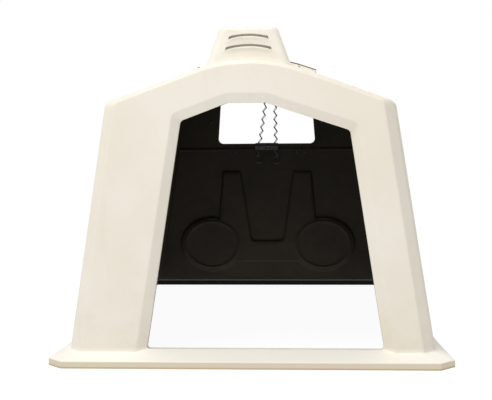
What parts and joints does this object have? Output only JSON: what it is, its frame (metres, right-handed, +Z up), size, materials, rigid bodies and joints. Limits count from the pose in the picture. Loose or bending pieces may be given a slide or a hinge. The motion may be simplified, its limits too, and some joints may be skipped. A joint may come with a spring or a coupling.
{
  "type": "calf hutch",
  "caption": "One-piece moulded hutch with an offset doorway, louvred ridge hood, hinged ridge lid worked by pull chains, and a rear window with a hinged flap.",
  "frame": {"origin": "on the ground, under the middle of the base flange", "axes": "+Z up; the doorway faces -Y; +X to the right when facing the doorway"},
  "size_m": [1.546, 2.1, 1.284],
  "materials": {
    "moulded_shell": "cream moulded polyethylene outside, dark layer inside",
    "moulded_hood": "cream moulded polyethylene",
    "moulded_lid": "cream moulded polyethylene",
    "moulded_flap": "cream moulded polyethylene",
    "rubber_seal": "matte",
    "edge_rubber": "matte",
    "dark_steel": "dark powder coat",
    "button_steel": "dark powder coat",
    "chain_steel": "weathered wire",
    "ring_steel": "weathered wire",
    "bolt_steel": "blackened zinc",
    "zinc_steel": "dull zinc"
  },
  "bodies": {
    "hutch": {"shell": "moulded_shell", "vent_hood": "moulded_hood", "hood_screws": "zinc_steel", "lid_curb_seal": "rubber_seal", "lid_brackets": "dark_steel", "lid_bracket_bolts": "zinc_steel", "lid_hinge_rod": "zinc_steel", "rod_clips": "zinc_steel", "chain_keeper": "dark_steel", "keeper_bolts": "bolt_steel", "wall_leaves": "dark_steel", "wall_leaf_bolts": "bolt_steel", "flap_hinge_pins": "zinc_steel", "turn_button_bolts": "bolt_steel"},
    "lid": {"ridge_lid": "moulded_lid", "lid_edge_strip": "edge_rubber", "lid_lever": "dark_steel", "lever_bolts": "zinc_steel"},
    "chain_left": {"pull_chain_left": "chain_steel", "pull_ring_left": "ring_steel"},
    "chain_right": {"pull_chain_right": "chain_steel", "pull_ring_right": "ring_steel"},
    "flap": {"rear_flap": "moulded_flap", "flap_seal": "rubber_seal", "flap_leaves": "dark_steel", "flap_rivets": "zinc_steel"},
    "button_left": {"turn_button_left": "button_steel"},
    "button_right": {"turn_button_right": "button_steel"}
  },
  "joints": [
    {"name": "lid_hinge", "type": "hinge", "parent": "hutch", "child": "lid", "pos_m": [0, 0.755, 1.117], "axis": [1, 0, 0], "range_deg": [0, 17]},
    {"name": "chain_left_slide", "type": "slide", "parent": "hutch", "child": "chain_left", "axis": [0, 0, 1], "range_m": [0, 0.02518]},
    {"name": "chain_right_slide", "type": "slide", "parent": "hutch", "child": "chain_right", "axis": [0, 0, 1], "range_m": [0, 0.02518]},
    {"name": "flap_hinge", "type": "hinge", "parent": "hutch", "child": "flap", "pos_m": [0, 0.9129, 0.80428], "axis": [1, 0, 0], "range_deg": [0, 180]},
    {"name": "button_left_turn", "type": "hinge", "parent": "hutch", "child": "button_left", "pos_m": [-0.31, 0.88705, 0.945], "axis": [0, 0.9952, 0.0976], "range_deg": [0, 90]},
    {"name": "button_right_turn", "type": "hinge", "parent": "hutch", "child": "button_right", "pos_m": [0.31, 0.88705, 0.945], "axis": [0, 0.9952, 0.0976], "range_deg": [0, 90]}
  ],
  "couplings": [
    {"joint": "chain_left_slide", "follows": "lid_hinge", "m_per_rad": 0.084689},
    {"joint": "chain_right_slide", "follows": "lid_hinge", "m_per_rad": 0.084689}
  ]
}
